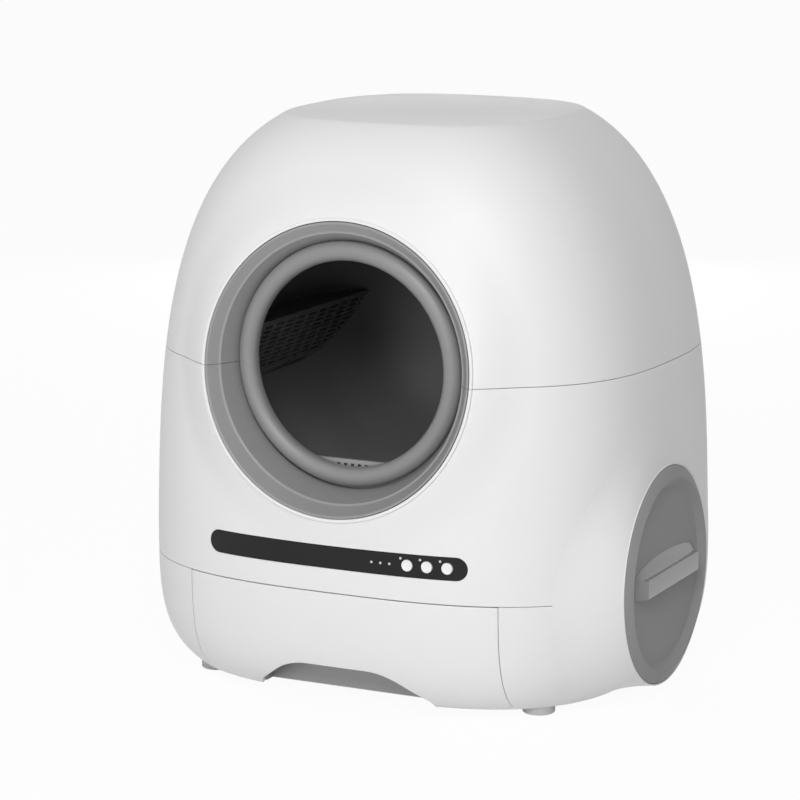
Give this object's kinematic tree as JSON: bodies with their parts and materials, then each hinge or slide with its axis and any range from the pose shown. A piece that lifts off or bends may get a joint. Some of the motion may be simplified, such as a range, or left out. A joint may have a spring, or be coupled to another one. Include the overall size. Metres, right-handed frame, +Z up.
{
  "type": "smart litter box",
  "caption": "Domed self-cleaning litter box with a round entrance, a motor-turned drum, a front waste drawer, a button strip and a twist-off side filter cap.",
  "frame": {"origin": "on the floor, below the middle of the housing, in the plane of the drum's axis", "axes": "+Z up; the entrance faces -Y; +X is the side with the filter cap"},
  "size_m": [0.577, 0.506, 0.6],
  "materials": {
    "white_shell": "satin white moulded plastic",
    "white_inner": "matt white moulded plastic",
    "grey_trim": "satin mid grey plastic",
    "charcoal_drum": "matt charcoal plastic",
    "black_lens": "smoked black plastic",
    "lamp": "clear light pipe",
    "button": "white key plastic",
    "board": "green laminate",
    "switch": "black plastic",
    "steel": "zinc plated steel",
    "light_grey": "light grey plastic",
    "gear_plastic": "acetal",
    "bearing": "bearing plastic",
    "motor": "motor can",
    "roller": "roller rubber",
    "rubber": "soft grey rubber",
    "carbon": "activated carbon pad",
    "fan_black": "black plastic",
    "aluminium": "anodised bar"
  },
  "bodies": {
    "housing": {"base_tray": "white_shell", "lower_shell": "white_shell", "lower_bezel": "grey_trim", "control_lens": "black_lens", "status_lamps": "lamp", "control_board": "board", "button_switches": "switch", "rear_frame": "white_inner", "axle_bush": "bearing", "gear_motor": "motor", "motor_screws": "steel", "roller_axles": "steel", "roller_brackets": "white_inner", "drum_deck": "white_inner", "deck_screws": "steel", "waste_chute": "white_inner", "drawer_runners": "white_inner", "filter_port": "white_shell", "carbon_filter": "carbon", "fan_frame": "fan_black", "feet": "rubber", "load_cells": "aluminium", "main_board": "board", "power_inlet": "fan_black"},
    "cover": {"upper_cover": "white_shell", "upper_bezel": "grey_trim"},
    "drum": {"drum_front": "charcoal_drum", "drum_rear": "charcoal_drum", "mouth_ring": "grey_trim", "drum_screws": "steel", "sieve_screen": "charcoal_drum", "sill_grate": "light_grey", "ring_gear": "gear_plastic", "drum_axle": "steel"},
    "pinion": {"drive_pinion": "gear_plastic"},
    "left_roller": {"roller_left": "roller"},
    "right_roller": {"roller_right": "roller"},
    "drawer": {"drawer_front": "white_shell", "drawer_grip": "white_inner", "waste_bin": "white_inner", "bag_frame": "light_grey"},
    "left_button": {"button_left": "button"},
    "middle_button": {"button_middle": "button"},
    "right_button": {"button_right": "button"},
    "cap": {"filter_cap": "grey_trim", "cap_seal": "rubber", "cap_grip": "grey_trim"},
    "fan": {"fan_rotor": "fan_black"}
  },
  "joints": [
    {"name": "cover_lift", "type": "slide", "parent": "housing", "child": "cover", "axis": [0, 0, 1], "range_m": [0, 0.26]},
    {"name": "drum_spin", "type": "hinge", "parent": "housing", "child": "drum", "pos_m": [0, 0, 0.358], "axis": [0, 1, 0], "continuous": true},
    {"name": "pinion_spin", "type": "hinge", "parent": "housing", "child": "pinion", "pos_m": [0.072, 0.17, 0.23329], "axis": [0, 1, 0], "continuous": true},
    {"name": "left_roller_spin", "type": "hinge", "parent": "housing", "child": "left_roller", "pos_m": [-0.08813, -0.179, 0.21697], "axis": [0, 1, 0], "continuous": true},
    {"name": "right_roller_spin", "type": "hinge", "parent": "housing", "child": "right_roller", "pos_m": [0.08813, -0.179, 0.21697], "axis": [0, 1, 0], "continuous": true},
    {"name": "drawer_slide", "type": "slide", "parent": "housing", "child": "drawer", "axis": [0, -1, 0], "range_m": [0, 0.33]},
    {"name": "left_button_press", "type": "slide", "parent": "housing", "child": "left_button", "axis": [0, 1, 0], "range_m": [0, 0.001], "stiffness_N_per_m": 800, "springref_m": -0.001},
    {"name": "middle_button_press", "type": "slide", "parent": "housing", "child": "middle_button", "axis": [0, 1, 0], "range_m": [0, 0.001], "stiffness_N_per_m": 800, "springref_m": -0.001},
    {"name": "right_button_press", "type": "slide", "parent": "housing", "child": "right_button", "axis": [0, 1, 0], "range_m": [0, 0.001], "stiffness_N_per_m": 800, "springref_m": -0.001},
    {"name": "cap_twist", "type": "hinge", "parent": "housing", "child": "cap", "pos_m": [0.288, -0.032, 0.1295], "axis": [1, 0, 0], "range_deg": [0, 60]},
    {"name": "fan_spin", "type": "hinge", "parent": "housing", "child": "fan", "pos_m": [0.2, -0.032, 0.1295], "axis": [1, 0, 0], "continuous": true}
  ],
  "couplings": [
    {"joint": "pinion_spin", "follows": "drum_spin", "ratio": -5},
    {"joint": "left_roller_spin", "follows": "drum_spin", "ratio": -9.375},
    {"joint": "right_roller_spin", "follows": "drum_spin", "ratio": -9.375}
  ]
}
